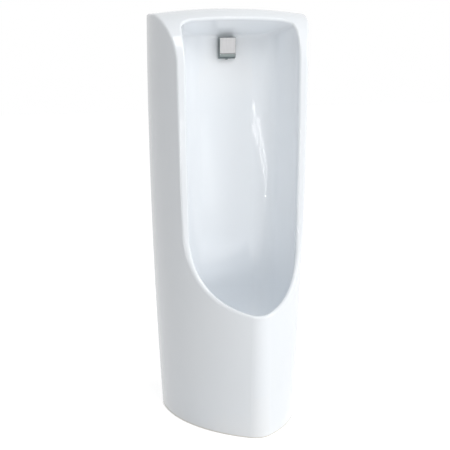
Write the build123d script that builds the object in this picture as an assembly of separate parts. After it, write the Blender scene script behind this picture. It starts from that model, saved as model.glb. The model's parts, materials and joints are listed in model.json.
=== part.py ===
from build123d import *
import os
from math import atan, cos, pi, radians, sin, tan

# A floor-standing urinal: one vitreous china column with an open bowl, hung on two wall hangers,
# with a flush spreader under its ceiling and a lift-out bell trap in its basin.
# Millimetres, +Z up, the user stands at -Y. The origin is on the floor under the middle of the body.
# Sizes called "out" are distances from the wall towards the user.

# China body, outer form
body_height = 1000.0
body_depth = 305.0
top_width = 382.0
middle_width = 370.0
base_width = 323.0
side_bulge = 7.0
nose_radius = 45.0
china_wall = 12.0
front_out_low = 176.0
front_out_high = 160.0
lip_height = 296.0
lip_slope = 19.0
sweep_share = 0.94
brow_radius = 118.0
crown_drop = 13.0
back_top_radius = 10.0
edge_radius = 6.0

# Bowl
rim_width = 16.0
lip_width = 12.0
lip_blend = 300.0
rim_roll = 5.0
bowl_wall_out = 30.0
bowl_corner_radius = 60.0
bowl_flank_radius = 70.0
bowl_nose_radius = 45.0
bowl_flare = 15.0
opening_out = 158.0
ceiling_back_height = body_height - 63.0
ceiling_slope = 24.0
ceiling_drop = 8.0
ceiling_corner_radius = 50.0
ceiling_radius = 12.0
ceiling_side_gap = 3.0
basin_floor = 170.0
basin_rounding = 130.0
basin_flat = 3.0
basin_floor_share = 0.13
basin_roundness = 2.3

# Waste and bell trap
drain_out = 140.0
drain_hole_radius = 31.0
drain_seat_depth = 6.0
drain_boss_height = 12.0
drain_boss_radius = 54.0
waste_flange_radius = 42.0
waste_flange_height = 5.0
waste_tail_radius = 29.0
waste_tail_length = 60.0
waste_bore_radius = 25.0
rubber_thickness = 2.0
lower_gasket_thickness = 3.0
washer_thickness = 1.5
waste_nut_height = 12.0
waste_nut_flats = 82.0
waste_gasket_radius = 45.0
strainer_radius = 37.0
strainer_thickness = 2.0
strainer_rise = 4.0
strainer_hole_radius = 3.2
strainer_first_ring = 12.0
strainer_ring_pitch = 10.0
strainer_seat_width = 8.0
strainer_rings = 2
bell_radius = 20.0
bell_wall = 2.0
bell_height = 72.0
bell_stem_radius = 5.0
bell_stem_length = 22.0
bell_screw_radius = 2.5
bell_screw_length = 18.0
screw_head_height = 2.5
screw_slot_width = 1.2
cup_wall = 3.5
cup_height = 56.0
cup_floor = 4.0
cup_collar_height = 22.0
standpipe_radius = 13.0
standpipe_wall = 2.0
water_seal = 50.0
spigot_radius = 16.0
spigot_length = 14.0
union_nut_flats = 46.0
union_nut_lip = 4.0
pipe_collar_height = 3.0
pipe_collar_step = 2.0
pipe_wall = 2.5
pipe_floor_gap = 2.0
floor_flange_radius = 55.0
floor_flange_height = 5.0
floor_socket_height = 19.0
floor_socket_wall = 3.0
floor_seal_section = 3.0
floor_seal_height = 6.0
floor_hole_radius = 3.0
floor_hole_count = 3
floor_hole_circle = 42.0

# Flush spreader
spreader_height = body_height - 95.0
cover_width = 42.0
cover_height = 52.0
cover_depth = 15.0
cover_wall = 1.8
cover_curve = 14.0
cover_foot = 6.5
cover_edge = 1.5
tail_radius = 10.4
tail_tip_radius = 9.5
tail_tip_length = 7.0
tail_bore_radius = 7.0
tail_wall_gap = 1.0
tail_hole_gap = 1.6
inlet_washer_radius = 17.0
inlet_nut_flats = 30.0
inlet_nut_height = 8.0
spray_slot_width = 11.0
spray_slot_depth = 3.0
cap_screw_radius = 2.0
cap_screw_head_radius = 3.0
cap_screw_length = 10.0

# Wall hangers
hanger_spacing = 312.0
hanger_ledge_height = body_height - 210.0
hanger_ledge_out = 60.0
hanger_ledge_gap = 8.0
hanger_width = 28.0
hanger_steel = 4.0
hanger_drop = 60.0
hanger_hook = 13.0
hanger_pad_thickness = 3.0
hanger_hole_radius = 3.5
hanger_hole_spacing = 16.0
hanger_hole_rise = 12.0
hanger_gusset = 34.0

# Clearances
fit = 0.05
loose = 0.3
overrun = 20.0

half_depth = body_depth / 2


def level(z):
    """Plan plane at height z, with its origin on the wall line."""
    return Plane(origin=(0, half_depth, z), x_dir=(1, 0, 0), z_dir=(0, 0, 1))


def side_plane(x):
    """Plane across the body at x, drawn with its first axis out from the wall and its second up."""
    return Plane(origin=(x, half_depth, 0), x_dir=(0, -1, 0), z_dir=(-1, 0, 0))


def drain_level(z):
    """Plan plane at height z, with its origin on the drain's axis."""
    return Plane(origin=(0, half_depth - drain_out, z), x_dir=(1, 0, 0), z_dir=(0, 0, 1))


def inlet_plane(out, z=spreader_height):
    """Plane parallel to the wall, a distance out from it, that faces the wall."""
    return Plane(origin=(0, half_depth - out, z), x_dir=(-1, 0, 0), z_dir=(0, 1, 0))


def half_width(z):
    """Half of the body's width along the wall, on a parabola through the three widths."""
    t = z / body_height
    base, middle, top = base_width / 2, middle_width / 2, top_width / 2
    return base + t * (4 * middle - 3 * base - top) + t * t * (2 * base + 2 * top - 4 * middle)


def flank(width, depth, nose):
    """Centre and radius of the arc that leaves the wall at width and is tangent to the nose."""
    bulge = radians(side_bulge)
    reach = depth - nose
    radius = (width**2 + reach**2 - nose**2) / 2 / (width * cos(bulge) + reach * sin(bulge) - nose)
    return Vector(width - radius * cos(bulge), -radius * sin(bulge)), radius


def flank_half_width(z, out):
    """Half-width of the outer form at height z, a distance out from the wall."""
    centre, radius = flank(half_width(z), body_depth, nose_radius)
    return centre.X + (radius**2 - (out + centre.Y) ** 2) ** 0.5


def mirrored(point):
    return Vector(-point.X, point.Y)


def outer_outline(z, inset=0.0, behind=0.0):
    """Plan of the column at height z: a straight back, two bowed flanks and a tight nose."""
    width = half_width(z) - inset
    depth = body_depth - inset
    nose = nose_radius - inset
    centre, radius = flank(width, depth, nose)
    wall_end = Vector(width, 0)
    nose_end = centre + (Vector(0, nose - depth) - centre).normalized() * radius
    way = (wall_end - centre).normalized() + (nose_end - centre).normalized()
    middle = centre + way.normalized() * radius
    edges = [
        Line(wall_end + Vector(0, behind), mirrored(wall_end) + Vector(0, behind)),
        ThreePointArc(wall_end, middle, nose_end),
        ThreePointArc(nose_end, Vector(0, -depth), mirrored(nose_end)),
        ThreePointArc(mirrored(nose_end), mirrored(middle), mirrored(wall_end)),
    ]
    if behind:
        edges.append(Line(wall_end, wall_end + Vector(0, behind)))
        edges.append(Line(mirrored(wall_end), mirrored(wall_end) + Vector(0, behind)))
    return level(z) * make_face(edges)


def column(inset=0.0, behind=0.0, below=0.0):
    """The tapered column before its front is cut back."""
    stations = (-below, body_height / 3, body_height * 2 / 3, body_height + overrun)
    return loft([outer_outline(z, inset, behind) for z in stations])


def side_profile(x, inset=0.0, behind=0.0, below=0.0):
    """Side view of the body at x: upright front, brow rolled into the top, sweep out to the lip."""
    reach = body_depth + overrun
    slope = tan(radians(lip_slope))
    lean = (front_out_low - front_out_high) / body_height
    turn = pi / 2 - radians(lip_slope) + atan(lean)
    sweep = sweep_share * (reach - front_out_low) / cos(radians(lip_slope)) / tan(turn / 2)
    top = body_height - inset - crown_drop * (x / (top_width / 2)) ** 2
    lip = lip_height - inset / cos(radians(lip_slope))
    front = front_out_low - inset
    meet = lip + (body_depth - front) * slope
    outline = FilletPolyline(
        (-behind, -below),
        (reach, -below),
        (reach, lip - (reach - body_depth) * slope),
        (front, meet),
        (front - lean * (top - meet), top),
        (-behind, top),
        radius=(0, 0, 0, sweep + inset, brow_radius - inset, 0 if behind else back_top_radius),
        close=True,
    )
    return side_plane(x) * make_face(outline)


def front_cut(inset=0.0, behind=0.0, below=0.0):
    """The side view carried across the body, with its top crowned."""
    span = top_width / 2 + overrun
    return loft([side_profile(x, inset, behind, below) for x in (-span, 0, span)])


def basin_share(z):
    """How much of the bowl's full plan is left at height z, as the basin closes in on its floor."""
    t = min((z - basin_floor + basin_flat) / basin_rounding, 1)
    swell = (1 - (1 - t) ** basin_roundness) ** (1 / basin_roundness)
    return basin_floor_share + (1 - basin_floor_share) * swell


def bowl_outline(z, grow=0.0):
    """Plan of the bowl: flat back, rounded corners, flared walls, then flanks and nose like the body's."""
    above = max((z - basin_floor - basin_rounding) / lip_blend, 0)
    rim = rim_width - (rim_width - lip_width) * max(1 - above, 0)
    width = half_width(z) - rim + grow
    depth = body_depth - rim + grow
    back = bowl_wall_out - grow
    nose = bowl_nose_radius + grow
    centre, radius = flank(width, depth, nose)
    nose_end = centre + (Vector(0, nose - depth) - centre).normalized() * radius
    widest = Vector(centre.X + (radius**2 - (opening_out + centre.Y) ** 2) ** 0.5, -opening_out)
    corner = Vector(widest.X - (opening_out - back) * tan(radians(bowl_flare)), -back)
    way = (widest - centre).normalized() + (nose_end - centre).normalized()
    middle = centre + way.normalized() * radius
    outline = make_face(
        [
            Line(mirrored(corner), corner),
            Line(corner, widest),
            ThreePointArc(widest, middle, nose_end),
            ThreePointArc(nose_end, Vector(0, -depth), mirrored(nose_end)),
            ThreePointArc(mirrored(nose_end), mirrored(middle), mirrored(widest)),
            Line(mirrored(widest), mirrored(corner)),
        ]
    )
    outline = fillet([v for v in outline.vertices() if abs(v.Y + back) < fit], bowl_corner_radius + grow)
    outline = fillet(
        [v for v in outline.vertices() if abs(v.Y + opening_out) < fit], bowl_flank_radius + grow
    )
    share = basin_share(z)
    share += (1 - share) * grow / half_width(z)
    return level(z) * Pos(0, -drain_out * (1 - share)) * scale(outline, by=share)


def ceiling_arch(grow=0.0):
    """All that lies under the ceiling: a crowned arch carried out from the wall up the slope."""
    slope = radians(ceiling_slope)
    half = flank_half_width(ceiling_back_height, opening_out) - rim_width + ceiling_side_gap + grow
    crown = ceiling_back_height - bowl_wall_out * tan(slope) + grow / cos(slope)
    spring = crown - ceiling_drop
    outline = make_face(
        [
            ThreePointArc((-half, spring), (0, crown), (half, spring)),
            Polyline((half, spring), (half, -body_depth), (-half, -body_depth), (-half, spring)),
        ]
    )
    corners = [v for v in outline.vertices() if v.Y > 0]
    outline = fillet(corners, ceiling_corner_radius + grow)
    wall_plane = Plane(origin=(0, half_depth, 0), x_dir=(1, 0, 0), z_dir=(0, -1, 0))
    return extrude(wall_plane * outline, body_depth + overrun, dir=(0, -cos(slope), sin(slope)))


def bowl_space(grow=0.0):
    """The bowl's space under its ceiling; grown by the wall it becomes the bowl's outside."""
    closing = [basin_floor + (basin_rounding - basin_flat) * step for step in (0.0, 0.04, 0.16, 0.4, 1.0)]
    rising = (closing[-1], body_height * 2 / 3, body_height + body_depth / 2)
    basin = loft([bowl_outline(z, grow) for z in closing])
    shaft = loft([bowl_outline(z, grow) for z in rising])
    lowered = Pos(0, 0, -grow)
    return (lowered * shaft & ceiling_arch(grow)) + lowered * basin


def rolled_edges(outer):
    """Edges of the front and top that are rolled over; the nose's two upright seams stay out."""
    edges = []
    for edge in outer.edges():
        middle = edge @ 0.5
        on_back = middle.Y > half_depth - fit
        on_foot = middle.Z < fit
        across = abs(middle.X) < fit and abs((edge @ 0).X) > 2 * nose_radius
        upright = abs((edge @ 0).X - (edge @ 1).X) < edge_radius and middle.Z < lip_height
        if not (on_back or on_foot or across or upright):
            edges.append(edge)
    return edges


def ceiling_edges(bowl):
    """Edges between the ceiling and the bowl's back and side walls."""
    edges = []
    for edge in bowl.edges():
        lowest = min((edge @ 0).Z, (edge @ 1).Z)
        if lowest > ceiling_back_height - ceiling_radius and (edge @ 0.5).Y > half_depth - opening_out:
            edges.append(edge)
    return edges


def opening_edges(body, outer, bowl):
    """Edges of the cut body that lie both on the outer form and on the bowl: the opening's rim."""
    outer_skin = outer.shell()
    bowl_skin = bowl.shell()
    edges = []
    for edge in body.edges():
        middle = edge @ 0.5
        in_front = middle.Z > lip_height - edge_radius and middle.Y < half_depth - opening_out / 2
        if in_front and outer_skin.distance_to(middle) < fit and bowl_skin.distance_to(middle) < fit:
            edges.append(edge)
    return edges


def hanging_ledges():
    """The two shelves inside the hollow by which the body hangs."""
    shelf = Box(
        half_width(hanger_ledge_height),
        hanger_ledge_out - hanger_ledge_gap,
        china_wall,
        align=(Align.MIN, Align.MAX, Align.MIN),
    )
    inner_end = hanger_spacing / 2 - hanger_width
    right = Pos(inner_end, half_depth - hanger_ledge_gap, hanger_ledge_height) * shelf
    return right + mirror(right, Plane.YZ)


def china_body():
    outer = column() & front_cut()
    outer = fillet(rolled_edges(outer), edge_radius)
    bowl = bowl_space()
    bowl = fillet(ceiling_edges(bowl), ceiling_radius)
    body = outer - bowl
    body = fillet(opening_edges(body, outer, bowl), rim_roll)
    hollow = column(china_wall, overrun, overrun) & front_cut(china_wall, overrun, overrun)
    hollow -= bowl_space(china_wall)
    hollow -= hanging_ledges()
    hollow -= drain_cylinder(drain_boss_radius, boss_z, basin_floor)
    body -= hollow
    body -= drain_cylinder(drain_hole_radius, 0, basin_floor + 1)
    body -= drain_cylinder(waste_flange_radius + loose, seat_z, basin_floor + 1)
    tail_hole = Circle(tail_radius + tail_hole_gap)
    body -= extrude(inlet_plane(bowl_wall_out + 1) * tail_hole, bowl_wall_out)
    return body


def drain_cylinder(radius, low, high):
    return extrude(drain_level(low) * Circle(radius), high - low)


def drain_ring(outer_radius, inner_radius, low, high):
    return drain_cylinder(outer_radius, low, high) - drain_cylinder(inner_radius, low - 1, high + 1)


def turned(*points):
    """A piece turned about the drain's axis from its half section, given as radius and height."""
    half_section = Plane.XZ * make_face(Polyline(*points, close=True))
    return Pos(0, half_depth - drain_out, 0) * revolve(half_section, Axis.Z)


# Heights of the waste and the trap, worked out downwards from the basin's floor
seat_z = basin_floor - drain_seat_depth
boss_z = seat_z - drain_boss_height
waste_z = seat_z + rubber_thickness
waste_top_z = waste_z + waste_flange_height
waste_nut_top_z = boss_z - lower_gasket_thickness - washer_thickness
waste_nut_z = waste_nut_top_z - waste_nut_height
tail_end_z = waste_z - waste_tail_length
strainer_z = waste_top_z - strainer_thickness - 1.0
stem_top_z = strainer_z + strainer_rise
bell_top_z = stem_top_z - bell_stem_length
bell_mouth_z = bell_top_z - bell_height
standpipe_top_z = bell_mouth_z + water_seal
cup_ledge_z = tail_end_z - rubber_thickness
cup_floor_z = cup_ledge_z - cup_height
cup_bottom_z = cup_floor_z - cup_floor
spigot_z = cup_bottom_z - spigot_length
pipe_top_z = spigot_z - rubber_thickness
pipe_collar_z = pipe_top_z - pipe_collar_height
union_nut_z = pipe_collar_z - union_nut_lip

tail_clear_radius = waste_tail_radius + loose
pipe_bore_radius = spigot_radius - pipe_wall
floor_seal_radius = spigot_radius + floor_seal_section


def nut(plane, flats, height, sides):
    return extrude(plane * RegularPolygon(flats / 2, sides, major_radius=False), height)


def waste_body():
    """Flanged waste through the basin's floor, with a shallow seat for the strainer."""
    seat_radius = strainer_radius + loose
    return turned(
        (waste_bore_radius, tail_end_z),
        (waste_tail_radius, tail_end_z),
        (waste_tail_radius, waste_z),
        (waste_flange_radius, waste_z),
        (waste_flange_radius, waste_top_z),
        (seat_radius, waste_top_z),
        (seat_radius, strainer_z),
        (waste_bore_radius, strainer_z),
    )


def waste_seal_ring():
    return drain_ring(waste_flange_radius - loose, drain_hole_radius + loose, seat_z, waste_z)


def waste_lower_gasket():
    return drain_ring(waste_gasket_radius, tail_clear_radius, boss_z - lower_gasket_thickness, boss_z)


def waste_washer():
    return drain_ring(
        waste_gasket_radius, tail_clear_radius, waste_nut_top_z, waste_nut_top_z + washer_thickness
    )


def waste_lock_nut():
    blank = nut(drain_level(waste_nut_z), waste_nut_flats, waste_nut_height, 8)
    return blank - drain_cylinder(waste_tail_radius + fit, waste_nut_z - 1, waste_nut_top_z + 1)


def strainer_plate():
    """Raised strainer with rings of holes and a flat pad in the middle for its screw."""
    pad = bell_stem_radius + 1
    flat = strainer_radius - strainer_seat_width
    low = strainer_z
    pad_z = low + strainer_rise
    thickness = strainer_thickness
    plate = turned(
        (0, pad_z),
        (pad, pad_z),
        (flat, low),
        (strainer_radius, low),
        (strainer_radius, low + thickness),
        (flat, low + thickness),
        (pad, pad_z + thickness),
        (0, pad_z + thickness),
    )
    holes = drain_level(low) * Circle(bell_screw_radius + fit)
    for ring in range(strainer_rings):
        places = PolarLocations(strainer_first_ring + ring * strainer_ring_pitch, 6 * (ring + 1))
        holes += drain_level(low) * places * Circle(strainer_hole_radius)
    return plate - extrude(holes, strainer_rise + thickness)


def trap_bell():
    """Inverted cup under the strainer, with a stem that the screw bites into."""
    bell = turned(
        (0, stem_top_z),
        (bell_stem_radius, stem_top_z),
        (bell_stem_radius, bell_top_z),
        (bell_radius, bell_top_z),
        (bell_radius, bell_mouth_z),
        (bell_radius - bell_wall, bell_mouth_z),
        (bell_radius - bell_wall, bell_top_z - bell_wall),
        (0, bell_top_z - bell_wall),
    )
    depth = bell_screw_length - strainer_thickness + loose
    return bell - drain_cylinder(bell_screw_radius + fit, stem_top_z - depth, stem_top_z + 1)


def bell_screw():
    head_z = stem_top_z + strainer_thickness
    head_top_z = head_z + screw_head_height
    screw = turned(
        (0, head_z - bell_screw_length),
        (bell_screw_radius, head_z - bell_screw_length),
        (bell_screw_radius, head_z),
        (bell_stem_radius, head_z),
        (bell_stem_radius, head_top_z - screw_head_height / 3),
        (bell_stem_radius - screw_head_height / 3, head_top_z),
        (0, head_top_z),
    )
    slot = Box(2 * bell_stem_radius, screw_slot_width, screw_head_height)
    return screw - Pos(0, half_depth - drain_out, head_top_z) * slot


def trap_cup():
    """Cup of the trap: collar over the waste's tail, standpipe inside and a spigot below."""
    chamber = waste_bore_radius + 1
    collar = waste_tail_radius + fit
    top = tail_end_z + cup_collar_height
    step = cup_ledge_z - cup_wall
    return turned(
        (standpipe_radius - standpipe_wall, spigot_z),
        (spigot_radius, spigot_z),
        (spigot_radius, cup_bottom_z),
        (chamber + cup_wall, cup_bottom_z),
        (chamber + cup_wall, step),
        (collar + cup_wall, step),
        (collar + cup_wall, top),
        (collar, top),
        (collar, cup_ledge_z),
        (chamber, cup_ledge_z),
        (chamber, cup_floor_z),
        (standpipe_radius, cup_floor_z),
        (standpipe_radius, standpipe_top_z),
        (standpipe_radius - standpipe_wall, standpipe_top_z),
    )


def trap_seal_ring():
    return drain_ring(waste_tail_radius, waste_bore_radius + 1, cup_ledge_z, tail_end_z)


def outlet_union_nut():
    top = cup_bottom_z - spigot_length / 7
    blank = nut(drain_level(union_nut_z), union_nut_flats, top - union_nut_z, 6)
    blank -= drain_cylinder(spigot_radius + fit, spigot_z, top + 1)
    blank -= drain_cylinder(spigot_radius + pipe_collar_step + loose, pipe_collar_z, spigot_z)
    return blank - drain_cylinder(spigot_radius + loose, union_nut_z - 1, pipe_collar_z)


def union_seal_ring():
    return drain_ring(spigot_radius, pipe_bore_radius, pipe_top_z, spigot_z)


def outlet_pipe():
    return turned(
        (pipe_bore_radius, pipe_floor_gap),
        (spigot_radius, pipe_floor_gap),
        (spigot_radius, pipe_collar_z),
        (spigot_radius + pipe_collar_step, pipe_collar_z),
        (spigot_radius + pipe_collar_step, pipe_top_z),
        (pipe_bore_radius, pipe_top_z),
    )


def floor_flange():
    """Flange on the floor with a socket for the pipe, a seat for its seal and three screw holes."""
    seal_z = floor_socket_height - floor_seal_height
    flange = turned(
        (spigot_radius + loose, 0),
        (floor_flange_radius, 0),
        (floor_flange_radius, floor_flange_height),
        (floor_seal_radius + floor_socket_wall, floor_flange_height),
        (floor_seal_radius + floor_socket_wall, floor_socket_height),
        (floor_seal_radius, floor_socket_height),
        (floor_seal_radius, seal_z),
        (spigot_radius + loose, seal_z),
    )
    places = PolarLocations(floor_hole_circle, floor_hole_count, start_angle=90)
    for hole in places * Circle(floor_hole_radius):
        flange -= extrude(drain_level(0) * hole, floor_flange_height)
    return flange


def floor_flange_seal():
    top = floor_socket_height
    return drain_ring(floor_seal_radius, spigot_radius, top - floor_seal_height, top)


def cover_profile(inset=0.0, back_gap=0.0):
    """Side view of the spreader's cap: upright front, underside curved back to a flat foot."""
    back = bowl_wall_out + rubber_thickness - back_gap
    front = bowl_wall_out + rubber_thickness + cover_depth - inset
    low = spreader_height - cover_height / 2 + inset
    high = spreader_height + cover_height / 2 - inset
    foot = front - (cover_depth - cover_foot)
    knee = low + cover_curve
    bulge = ((foot + front) / 2 + cover_foot / 3, (low + knee) / 2 - cover_foot / 3)
    return make_face(
        [
            Polyline((foot, low), (back, low), (back, high), (front, high), (front, knee)),
            ThreePointArc((front, knee), bulge, (foot, low)),
        ]
    )


def across(profile, width):
    """A side view drawn out to a width, centred on the body."""
    return extrude(side_plane(width / 2) * profile, width)


def spray_slots():
    """Cutters for the two slots in the spreader's underside."""
    slot = Box(
        spray_slot_width,
        spray_slot_depth,
        cover_height / 2,
        align=(Align.CENTER, Align.CENTER, Align.MIN),
    )
    out = bowl_wall_out + rubber_thickness + cover_foot / 2
    low = spreader_height - cover_height / 2 - 1
    offset_x = cap_screw_head_radius + spray_slot_width / 2 + 1.5
    return [Pos(side * offset_x, half_depth - out, low) * slot for side in (-1, 1)]


def cap_screw_place():
    out = bowl_wall_out + rubber_thickness + cover_foot / 2
    return Pos(0, half_depth - out, spreader_height - cover_height / 2)


def spreader_cover():
    cover = across(cover_profile(), cover_width)
    front_y = half_depth - bowl_wall_out - rubber_thickness
    edges = [e for e in cover.edges() if (e @ 0.5).Y < front_y - fit]
    cover = fillet(edges, cover_edge)
    cover -= across(cover_profile(cover_wall, 1), cover_width - 2 * cover_wall)
    for slot in spray_slots():
        cover -= slot
    return cover - cap_screw_place() * Cylinder(cap_screw_radius + fit, 4 * cover_wall)


def spreader_body():
    """Casting behind the cap: water way from the threaded tail to the two slots below."""
    inset = cover_wall + loose
    body = across(cover_profile(inset), cover_width - 2 * inset)
    tail_top = bowl_wall_out + rubber_thickness
    thread = tail_top - tail_wall_gap - tail_tip_length
    body += extrude(inlet_plane(tail_top) * Circle(tail_radius), thread)
    body += extrude(inlet_plane(tail_top - thread) * Circle(tail_tip_radius), tail_tip_length)
    chamber = tail_top + cover_depth / 2
    body -= extrude(inlet_plane(chamber) * Circle(tail_bore_radius), chamber)
    gallery = Rot(0, 90, 0) * Cylinder(spray_slot_depth, cover_width - 4 * inset)
    slot_out = bowl_wall_out + rubber_thickness + cover_foot / 2
    body -= Pos(0, half_depth - slot_out, spreader_height) * gallery
    for slot in spray_slots():
        body -= slot
    hole = Cylinder(cap_screw_radius + fit, 2 * (cap_screw_length + loose))
    return body - cap_screw_place() * hole


def spreader_cap_screw():
    shank = Cylinder(cap_screw_radius, cap_screw_length, align=(Align.CENTER, Align.CENTER, Align.MIN))
    head = Cylinder(cap_screw_head_radius, cap_screw_radius, align=(Align.CENTER, Align.CENTER, Align.MAX))
    return cap_screw_place() * (shank + head)


def spreader_front_gasket():
    inset = cover_wall + loose
    sheet = Rectangle(cover_width - 2 * inset, cover_height - 2 * inset) - Circle(tail_radius + loose)
    return extrude(inlet_plane(bowl_wall_out + rubber_thickness) * sheet, rubber_thickness)


def spreader_rear_washer():
    out = bowl_wall_out - china_wall
    ring = Circle(inlet_washer_radius) - Circle(tail_radius + loose)
    return extrude(inlet_plane(out) * ring, rubber_thickness)


def spreader_lock_nut():
    out = bowl_wall_out - china_wall - rubber_thickness
    blank = nut(inlet_plane(out), inlet_nut_flats, inlet_nut_height, 6)
    return blank - extrude(inlet_plane(out + 1) * Circle(tail_radius + fit), inlet_nut_height + 2)


hanger_arm_top_z = hanger_ledge_height - hanger_pad_thickness
hanger_hook_out = hanger_ledge_out + hanger_steel


def wall_hanger(x):
    """Steel bracket at x: plate on the wall, arm under the ledge, gusset, hook and two holes."""
    arm_z = hanger_arm_top_z - hanger_steel
    tip = hanger_hook_out + hanger_steel
    strip = make_face(
        Polyline(
            (0, arm_z - hanger_drop),
            (hanger_steel, arm_z - hanger_drop),
            (hanger_steel, arm_z),
            (tip, arm_z),
            (tip, hanger_arm_top_z + hanger_hook),
            (hanger_hook_out, hanger_arm_top_z + hanger_hook),
            (hanger_hook_out, hanger_arm_top_z),
            (hanger_steel, hanger_arm_top_z),
            (hanger_steel, hanger_arm_top_z + hanger_hook),
            (0, hanger_arm_top_z + hanger_hook),
            close=True,
        )
    )
    inner = make_face(
        Polyline(
            (hanger_steel, arm_z - hanger_gusset),
            (hanger_steel + hanger_gusset, arm_z),
            (hanger_steel, arm_z),
            close=True,
        )
    )
    bracket = across(strip, hanger_width) + across(inner, hanger_steel)
    hole_z = arm_z - hanger_drop + hanger_hole_rise
    for side in (-1, 1):
        place = inlet_plane(hanger_steel + 1, hole_z) * Pos(side * hanger_hole_spacing / 2, 0)
        bracket -= extrude(place * Circle(hanger_hole_radius), hanger_steel + 2)
    return Pos(x, 0, 0) * bracket


def hanger_pad(x):
    pad = Box(
        hanger_width,
        hanger_ledge_out - hanger_ledge_gap,
        hanger_pad_thickness,
        align=(Align.CENTER, Align.MAX, Align.MIN),
    )
    return Pos(x, half_depth - hanger_ledge_gap, hanger_arm_top_z) * pad


nodes = {
    "china_body": china_body,
    "spreader_cover": spreader_cover,
    "spreader_body": spreader_body,
    "spreader_cap_screw": spreader_cap_screw,
    "spreader_front_gasket": spreader_front_gasket,
    "spreader_rear_washer": spreader_rear_washer,
    "spreader_lock_nut": spreader_lock_nut,
    "strainer_plate": strainer_plate,
    "bell_screw": bell_screw,
    "trap_bell": trap_bell,
    "waste_body": waste_body,
    "waste_seal_ring": waste_seal_ring,
    "waste_lower_gasket": waste_lower_gasket,
    "waste_washer": waste_washer,
    "waste_lock_nut": waste_lock_nut,
    "trap_cup": trap_cup,
    "trap_seal_ring": trap_seal_ring,
    "outlet_union_nut": outlet_union_nut,
    "union_seal_ring": union_seal_ring,
    "outlet_pipe": outlet_pipe,
    "floor_flange": floor_flange,
    "floor_flange_seal": floor_flange_seal,
    "wall_hanger_left": lambda: wall_hanger(-hanger_spacing / 2),
    "wall_hanger_right": lambda: wall_hanger(hanger_spacing / 2),
    "hanger_pad_left": lambda: hanger_pad(-hanger_spacing / 2),
    "hanger_pad_right": lambda: hanger_pad(hanger_spacing / 2),
}

os.makedirs("parts", exist_ok=True)
for name, make in nodes.items():
    export_step(make(), f"parts/{name}.step")
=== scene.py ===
import json
import math

import bpy
from mathutils import Matrix, Vector

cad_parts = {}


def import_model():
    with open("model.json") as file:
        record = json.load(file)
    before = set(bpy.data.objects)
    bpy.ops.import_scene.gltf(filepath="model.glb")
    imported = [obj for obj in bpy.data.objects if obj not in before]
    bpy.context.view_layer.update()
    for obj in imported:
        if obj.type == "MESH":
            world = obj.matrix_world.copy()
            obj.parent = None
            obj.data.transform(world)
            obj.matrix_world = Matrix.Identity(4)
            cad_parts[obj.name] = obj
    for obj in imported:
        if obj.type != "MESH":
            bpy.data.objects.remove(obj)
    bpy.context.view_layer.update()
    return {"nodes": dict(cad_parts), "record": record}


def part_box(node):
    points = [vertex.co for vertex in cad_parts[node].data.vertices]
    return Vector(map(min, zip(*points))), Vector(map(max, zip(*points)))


# Looks of the floor-standing urinal: glaze, metal, rubber and plastic on the CAD pieces, soft studio
# light and the photo's camera. Metres, +Z up, and the user stands at -Y.

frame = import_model()
nodes = frame["nodes"]
scene = bpy.context.scene
white = (1, 1, 1, 1)


# Node helpers

def grey(level):
    return (level, level, level)


def calculate(tree, operation, first, second):
    """Math node on two values; each may be a link or a number."""
    node = tree.nodes.new("ShaderNodeMath")
    node.operation = operation
    for value, socket in zip((first, second), node.inputs):
        if isinstance(value, (int, float)):
            socket.default_value = value
        else:
            tree.links.new(value, socket)
    return node.outputs[0]


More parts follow.
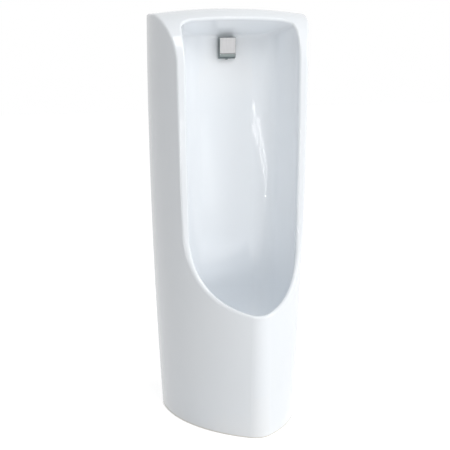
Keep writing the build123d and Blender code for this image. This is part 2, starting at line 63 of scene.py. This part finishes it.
class Graph:
    """A material's nodes, with short calls that add and link them."""

    def __init__(self, name):
        self.material = bpy.data.materials.new(name)
        self.material.use_nodes = True
        self.tree = self.material.node_tree
        self.shader = self.tree.nodes["Principled BSDF"]
        self.place = self.tree.nodes.new("ShaderNodeTexCoord").outputs["Object"]

    def link(self, output, socket):
        self.tree.links.new(output, socket)

    def geometry(self, output):
        return self.tree.nodes.new("ShaderNodeNewGeometry").outputs[output]

    def axis(self, vector, letter):
        """One component of a vector."""
        node = self.tree.nodes.new("ShaderNodeSeparateXYZ")
        self.link(vector, node.inputs["Vector"])
        return node.outputs[letter]

    def noise(self, scale, detail=3, roughness=0.5, stretch=None):
        node = self.tree.nodes.new("ShaderNodeTexNoise")
        node.inputs["Scale"].default_value = scale
        node.inputs["Detail"].default_value = detail
        node.inputs["Roughness"].default_value = roughness
        vector = self.place
        if stretch:
            mapping = self.tree.nodes.new("ShaderNodeMapping")
            mapping.inputs["Scale"].default_value = stretch
            self.link(vector, mapping.inputs["Vector"])
            vector = mapping.outputs["Vector"]
        self.link(vector, node.inputs["Vector"])
        return node.outputs["Fac"]

    def cells(self, scale, output="Distance"):
        node = self.tree.nodes.new("ShaderNodeTexVoronoi")
        node.inputs["Scale"].default_value = scale
        self.link(self.place, node.inputs["Vector"])
        return node.outputs[output]

    def ramp(self, factor, low_stop, high_stop):
        """Maps a factor between two stops, each of them a (position, grey level) pair."""
        node = self.tree.nodes.new("ShaderNodeValToRGB")
        for element, (position, level) in zip(node.color_ramp.elements, (low_stop, high_stop)):
            element.position = position
            element.color = (*grey(level), 1)
        self.link(factor, node.inputs["Fac"])
        return node.outputs["Color"]

    def mix(self, factor, low, high):
        """Blends two colours by a factor; each may be a link or a colour."""
        node = self.tree.nodes.new("ShaderNodeMix")
        node.data_type = "RGBA"
        self.link(factor, node.inputs["Factor"])
        for value, socket in ((low, node.inputs["A"]), (high, node.inputs["B"])):
            if isinstance(value, tuple):
                socket.default_value = (*value, 1)
            else:
                self.link(value, socket)
        return node.outputs["Result"]

    def paint(self, colour, roughness):
        self.link(colour, self.shader.inputs["Base Color"])
        self.link(roughness, self.shader.inputs["Roughness"])

    def bump(self, height, strength, distance):
        node = self.tree.nodes.new("ShaderNodeBump")
        node.inputs["Strength"].default_value = strength
        node.inputs["Distance"].default_value = distance
        self.link(height, node.inputs["Height"])
        self.link(node.outputs["Normal"], self.shader.inputs["Normal"])

    def set(self, **values):
        """Sets plain values on the shader, by the names of its sockets."""
        for name, value in values.items():
            title = name.replace("_", " ").title().replace("Ior", "IOR")
            self.shader.inputs[title].default_value = value


# Materials: colours run from dark to light, and stops from low to high

def china():
    """Fired glaze: slow waves, faint clouds, warmer edges lightened by a painted highlight, pin specks and
    a bare, rough foot.
    """
    cloud_colours = (0.885, 0.925, 0.965), (0.915, 0.945, 0.975)
    edge_highlight_colour = (0.95, 0.945, 0.935)
    speck_colour = (0.78, 0.76, 0.72)
    bare_colour = (0.72, 0.68, 0.6)
    bare_roughness = 0.8
    foot_stops = (0.0012, 1.0), (0.0028, 0.0)
    edge_highlight_stops = (0.52, 0.0), (0.6, 0.35)
    speck_stops = (0.02, 0.5), (0.045, 0.0)
    gloss_stops = (0.3, 0.05), (0.75, 0.08)
    graph = Graph("white_china")
    bare = graph.ramp(graph.axis(graph.place, "Z"), *foot_stops)
    glaze = graph.mix(graph.noise(scale=7, detail=4), *cloud_colours)
    # Painted highlight: convex edges and rims are blended towards a lighter, warmer white.
    edge_highlight = graph.ramp(graph.geometry("Pointiness"), *edge_highlight_stops)
    glaze = graph.mix(edge_highlight, glaze, edge_highlight_colour)
    specks = graph.ramp(graph.cells(scale=160), *speck_stops)
    glaze = graph.mix(specks, glaze, speck_colour)
    gloss = graph.ramp(graph.noise(scale=22), *gloss_stops)
    graph.paint(graph.mix(bare, glaze, bare_colour), graph.mix(bare, gloss, grey(bare_roughness)))
    graph.set(ior=1.52)
    graph.bump(graph.noise(scale=9, detail=1), strength=0.01, distance=0.004)
    return graph.material


def chrome():
    """Plated metal with faint polishing lines and a trace of haze."""
    plate_colours = (0.74, 0.75, 0.77), (0.84, 0.85, 0.87)
    haze_stops = (0.3, 0.08), (0.8, 0.2)
    graph = Graph("chrome_trim")
    lines = graph.noise(scale=90, detail=4, roughness=0.6, stretch=(1, 1, 0.06))
    graph.paint(graph.mix(lines, *plate_colours), graph.ramp(lines, *haze_stops))
    graph.set(metallic=1)
    graph.bump(lines, strength=0.05, distance=0.0004)
    return graph.material


def cover_front(graph):
    """1 on the cover's flat front above the knee where its face turns in, 0 on its sides and below, which
    get painted dark reflection.
    """
    knee_share = 0.29
    knee_blend = 0.004
    facing_stops = (0.93, 0.0), (0.99, 1.0)
    low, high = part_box("spreader_cover")
    knee = low[2] + knee_share * (high[2] - low[2])
    forward = calculate(graph.tree, "MULTIPLY", graph.axis(graph.geometry("Normal"), "Y"), -1)
    facing = graph.ramp(forward, *facing_stops)
    above = graph.ramp(graph.axis(graph.place, "Z"), (knee - knee_blend, 0.0), (knee, 1.0))
    return calculate(graph.tree, "MULTIPLY", facing, above)


def chrome_cover():
    """The spreader's cover: a finely brushed front between polished edges and lower curve, which are
    coloured dark as a painted reflection.
    """
    brushed_colours = (0.48, 0.48, 0.49), (0.64, 0.64, 0.65)
    painted_dark_reflection_colour = (0.2, 0.23, 0.23)
    polished_roughness = 0.12
    brushed_roughness = 0.3
    graph = Graph("chrome_cover")
    front = cover_front(graph)
    lines = graph.noise(scale=220, detail=4, roughness=0.6, stretch=(1, 1, 0.05))
    # Painted reflection: the cover's sides and lower curve are coloured dark, standing in for the dark
    # they reflect.
    colour = graph.mix(front, painted_dark_reflection_colour, graph.mix(lines, *brushed_colours))
    graph.paint(colour, graph.mix(front, grey(polished_roughness), grey(brushed_roughness)))
    graph.set(metallic=1)
    graph.bump(lines, strength=0.08, distance=0.0003)
    return graph.material


def brass():
    """Cast and turned brass with darker tarnish in patches."""
    brass_colours = (0.5, 0.36, 0.16), (0.78, 0.6, 0.32)
    tarnish_stops = (0.3, 0.42), (0.7, 0.25)
    graph = Graph("brass_fitting")
    patches = graph.noise(scale=60, detail=5)
    graph.paint(graph.mix(patches, *brass_colours), graph.ramp(patches, *tarnish_stops))
    graph.set(metallic=1)
    graph.bump(graph.noise(scale=400, detail=2), strength=0.15, distance=0.0002)
    return graph.material


def rubber():
    """Moulded rubber with a fine matt grain."""
    rubber_colours = (0.02, 0.02, 0.022), (0.05, 0.05, 0.052)
    grain_stops = (0.3, 0.6), (0.8, 0.8)
    graph = Graph("black_rubber")
    grain = graph.noise(scale=900)
    graph.paint(graph.mix(grain, *rubber_colours), graph.ramp(grain, *grain_stops))
    graph.bump(grain, strength=0.2, distance=0.0002)
    return graph.material


def plastic():
    """Moulded pale grey plastic with faint flow marks."""
    plastic_colours = (0.6, 0.61, 0.62), (0.7, 0.71, 0.72)
    flow_stops = (0.3, 0.3), (0.8, 0.42)
    graph = Graph("grey_plastic")
    flow = graph.noise(scale=30, detail=4, roughness=0.55, stretch=(1, 1, 0.3))
    graph.paint(graph.mix(flow, *plastic_colours), graph.ramp(flow, *flow_stops))
    graph.bump(graph.noise(scale=700, detail=2), strength=0.1, distance=0.0001)
    return graph.material


def zinc():
    """Hot-dipped steel: grey crystals of different brightness and dull patches."""
    dull_colour = (0.5, 0.51, 0.52)
    shade_stops = (0.1, 0.42), (0.9, 0.66)
    roughness_stops = (0.0, 0.3), (1.0, 0.5)
    graph = Graph("galvanised_steel")
    crystals = graph.cells(scale=130, output="Color")
    dull = graph.noise(scale=40, detail=4)
    colour = graph.mix(dull, graph.ramp(crystals, *shade_stops), dull_colour)
    graph.paint(colour, graph.ramp(crystals, *roughness_stops))
    graph.set(metallic=1)
    graph.bump(dull, strength=0.15, distance=0.0003)
    return graph.material


finishes = {
    "white_china": china(),
    "chrome_trim": chrome(),
    "brass_fitting": brass(),
    "black_rubber": rubber(),
    "grey_plastic": plastic(),
    "galvanised_steel": zinc(),
}
for entry in frame["record"]["subparts"]:
    piece = nodes[entry["node"]]
    piece.data.materials.clear()
    piece.data.materials.append(finishes[entry["material_slot"]])
    piece.data.shade_smooth()
cover_finish = chrome_cover()
for name in ("spreader_cover", "spreader_cap_screw"):
    nodes[name].data.materials[0] = cover_finish


# Camera: fitted to the object's outline in the photo, with angles in degrees

camera_place = Vector((-0.8176, -2.4229, 0.9997))
camera_pan = 17.77
camera_tilt = 11.35
photo_width = 450
focal_pixels = 1079
sensor_width = 36
clip_end = 50

camera = bpy.data.objects.new("camera", bpy.data.cameras.new("camera"))
scene.collection.objects.link(camera)
camera.location = camera_place
camera.rotation_euler = (math.radians(90 - camera_tilt), 0, math.radians(-camera_pan))
camera.data.sensor_width = sensor_width
camera.data.lens = sensor_width * focal_pixels / photo_width
camera.data.clip_end = clip_end
scene.camera = camera


# Room: white floor and world as the camera and reflections see them, and soft lamps. A turn is in
# degrees round the object's axis, from its front towards its right.

world_level = 0.45
seen_level = 1.0
floor_glow = 0.6
floor_reach = 8.0
floor_drop = 0.0005
floor_colours = grey(0.86), grey(0.88)
aim_height = 0.55
bar_distance = 2.0
bar_width = 0.02
bar_watts_per_metre = 0.8
bar_rises = {"bar_low": 0.0, "bar_high": 0.08}
bar_turns_and_heights = ((11, 0.505), (-6, 0.455), (-22, 0.41), (-48, 0.31), (-84, 0.13))
bar_left_turns_and_heights = ((15.8, 0.5), (17.4, 0.12))


def seen_directly(tree):
    """1 for rays from the camera and for reflected and refracted ones, 0 for rays that light a surface."""
    path = tree.nodes.new("ShaderNodeLightPath")
    seen = path.outputs["Is Camera Ray"]
    for name in ("Is Glossy Ray", "Is Transmission Ray"):
        seen = calculate(tree, "MAXIMUM", seen, path.outputs[name])
    return seen


def between(tree, factor, low, high):
    span = tree.nodes.new("ShaderNodeMapRange")
    span.inputs["To Min"].default_value = low
    span.inputs["To Max"].default_value = high
    tree.links.new(factor, span.inputs["Value"])
    return span.outputs["Result"]


def floor_finish():
    """White floor that glows only where it is seen, so that it looks white and keeps the shadow."""
    graph = Graph("floor")
    colour = graph.mix(graph.noise(scale=3, detail=2), *floor_colours)
    graph.link(colour, graph.shader.inputs["Base Color"])
    graph.set(roughness=0.7, specular_ior_level=0.2, emission_color=white)
    glow = between(graph.tree, seen_directly(graph.tree), 0, floor_glow)
    graph.link(glow, graph.shader.inputs["Emission Strength"])
    return graph.material


def floor():
    signs = ((-1, -1), (1, -1), (1, 1), (-1, 1))
    corners = [(x * floor_reach, y * floor_reach, 0) for x, y in signs]
    mesh = bpy.data.meshes.new("floor")
    mesh.from_pydata(corners, [], [(0, 1, 2, 3)])
    plane = bpy.data.objects.new("floor", mesh)
    scene.collection.objects.link(plane)
    plane.location.z = -floor_drop
    mesh.materials.append(floor_finish())


def world():
    """Even light from all round; white where the camera or a reflection sees it."""
    scene.world = bpy.data.worlds.new("world")
    scene.world.use_nodes = True
    tree = scene.world.node_tree
    background = tree.nodes["Background"]
    background.inputs["Color"].default_value = white
    strength = between(tree, seen_directly(tree), world_level, seen_level)
    tree.links.new(strength, background.inputs["Strength"])


def area_light(name, width, tall, watts):
    light = bpy.data.lights.new(name, "AREA")
    light.shape = "RECTANGLE"
    light.size = width
    light.size_y = tall
    light.energy = watts
    thing = bpy.data.objects.new(name, light)
    scene.collection.objects.link(thing)
    return thing


def around(turn, distance, height):
    """Place at a turn and a distance from the object's axis."""
    angle = math.radians(turn)
    return Vector((distance * math.sin(angle), -distance * math.cos(angle), height))


def lamp(name, turn, distance, height, width, tall, watts):
    """Soft box that faces the object's middle."""
    thing = area_light(name, width, tall, watts)
    thing.location = around(turn, distance, height)
    aim = Vector((0, 0, aim_height)) - thing.location
    thing.rotation_euler = aim.to_track_quat("-Z", "Y").to_euler()
    return thing


def bar(name, start, end, width, watts_per_metre):
    """Thin bar lamp between two places; only reflections see it, as a streak in the bowl."""
    length = (end - start).length
    thing = area_light(name, length, width, watts_per_metre * length)
    thing.location = (start + end) / 2
    along = (end - start).normalized()
    back = (thing.location - Vector((0, 0, aim_height))).normalized()
    across = back.cross(along).normalized()
    thing.rotation_euler = Matrix((along, across, along.cross(across))).transposed().to_euler()
    thing.visible_diffuse = False
    thing.visible_camera = False


def bars(name, turns_and_heights, rise, width, watts_per_metre):
    """Row of bars, end to end, through places given by their turns and heights."""
    ends = [around(turn, bar_distance, height + rise) for turn, height in turns_and_heights]
    for start, end in zip(ends, ends[1:]):
        bar(name, start, end, width, watts_per_metre)


floor()
world()
lamp("key", turn=56, distance=2.7, height=1.7, width=1.4, tall=1.8, watts=25)
lamp("overhead", turn=8, distance=1.4, height=2.6, width=1.2, tall=1.0, watts=15)
low_lamp = lamp("low", turn=10, distance=1.9, height=0.15, width=1.0, tall=0.2, watts=4.5)
low_lamp.visible_glossy = False
for name, rise in bar_rises.items():
    bars(name, bar_turns_and_heights, rise, bar_width, bar_watts_per_metre)
bars("bar_left", bar_left_turns_and_heights, rise=0, width=0.04, watts_per_metre=0.18)
scene.view_settings.view_transform = "Standard"
